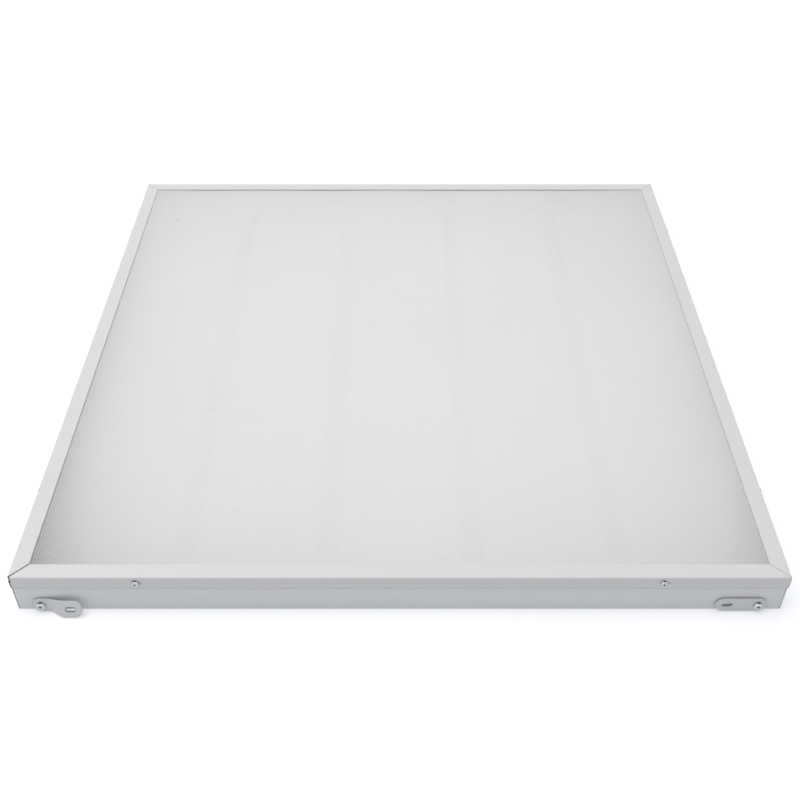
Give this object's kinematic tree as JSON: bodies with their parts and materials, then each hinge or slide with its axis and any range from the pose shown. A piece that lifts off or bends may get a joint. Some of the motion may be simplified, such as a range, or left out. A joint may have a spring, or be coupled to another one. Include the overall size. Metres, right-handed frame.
{
  "type": "ceiling light panel",
  "caption": "Square ceiling light that lies in a suspended grid: white steel tray, screwed trim rails, prismatic sheet over rows of LED boards, and swivel brackets at its corners.",
  "frame": {"origin": "middle of the tray's flat back face", "axes": "+Z from the back towards the lit face, +Y towards the side with the driver, +X towards the driver's end of that side, so the cable entry is at -X"},
  "size_m": [0.5994, 0.6075, 0.0385],
  "materials": {
    "white_painted_steel": "satin white powder coat",
    "bracket_steel": "satin white powder coat",
    "prismatic_sheet": "translucent white sheet with small moulded prisms",
    "zinc_plated_steel": "bright zinc plate",
    "tinned_brass": "tinned",
    "white_aluminium_board": "white solder mask",
    "led_package": "white frame with a yellow phosphor window",
    "white_nylon": "moulded white nylon",
    "glass_fibre_board": "green solder mask",
    "ferrite": "matt dark grey",
    "copper_winding": "enamelled copper",
    "capacitor_can": "dark sleeve",
    "film_capacitor_case": "moulded yellow",
    "black_epoxy": "moulded",
    "black_rubber": "matt",
    "red_insulation": "PVC insulation",
    "black_insulation": "PVC insulation",
    "brown_insulation": "PVC insulation",
    "blue_insulation": "PVC insulation",
    "green_yellow_insulation": "PVC insulation"
  },
  "bodies": {
    "light": {"back_connectors": "white_nylon", "board_screws": "zinc_plated_steel", "cable_grommet": "black_rubber", "diffuser": "prismatic_sheet", "driver_capacitors": "capacitor_can", "driver_case": "white_nylon", "driver_choke": "ferrite", "driver_circuit_board": "glass_fibre_board", "driver_cover": "white_nylon", "driver_film_capacitor": "film_capacitor_case", "driver_rectifier": "black_epoxy", "driver_screws": "zinc_plated_steel", "driver_transistor": "black_epoxy", "earth_lead": "green_yellow_insulation", "earth_lug": "tinned_brass", "earth_nut": "zinc_plated_steel", "earth_stud": "zinc_plated_steel", "earth_washer": "zinc_plated_steel", "front_connectors": "white_nylon", "front_jumper_leads": "red_insulation", "housing_tray": "white_painted_steel", "lead_clips": "white_nylon", "led_board_1": "white_aluminium_board", "led_board_2": "white_aluminium_board", "led_board_3": "white_aluminium_board", "led_board_4": "white_aluminium_board", "led_chips_1": "led_package", "led_chips_2": "led_package", "led_chips_3": "led_package", "led_chips_4": "led_package", "live_lead": "brown_insulation", "neutral_lead": "blue_insulation", "output_leads_black": "black_insulation", "output_leads_red": "red_insulation", "pivot_rivet_nuts": "zinc_plated_steel", "pivot_screws": "zinc_plated_steel", "terminal_block": "white_nylon", "terminal_clamps": "tinned_brass", "terminal_fixing_screws": "zinc_plated_steel", "terminal_screws": "zinc_plated_steel", "transformer_core": "ferrite", "transformer_winding": "copper_winding", "trim_back": "white_painted_steel", "trim_front": "white_painted_steel", "trim_left": "white_painted_steel", "trim_right": "white_painted_steel", "trim_screws": "zinc_plated_steel"},
    "bracket_front_left": {"bracket_front_left": "bracket_steel"},
    "bracket_front_right": {"bracket_front_right": "bracket_steel"},
    "bracket_back_left": {"bracket_back_left": "bracket_steel"},
    "bracket_back_right": {"bracket_back_right": "bracket_steel"}
  },
  "joints": [
    {"name": "bracket_front_left_swivel", "type": "hinge", "parent": "light", "child": "bracket_front_left", "pos_m": [-0.2774, -0.2986, 0.0079], "axis": [0, 1, 0], "continuous": true},
    {"name": "bracket_front_right_swivel", "type": "hinge", "parent": "light", "child": "bracket_front_right", "pos_m": [0.2774, -0.2986, 0.0079], "axis": [0, -1, 0], "continuous": true},
    {"name": "bracket_back_left_swivel", "type": "hinge", "parent": "light", "child": "bracket_back_left", "pos_m": [-0.2774, 0.2986, 0.0079], "axis": [0, 1, 0], "continuous": true},
    {"name": "bracket_back_right_swivel", "type": "hinge", "parent": "light", "child": "bracket_back_right", "pos_m": [0.2774, 0.2986, 0.0079], "axis": [0, -1, 0], "continuous": true}
  ]
}
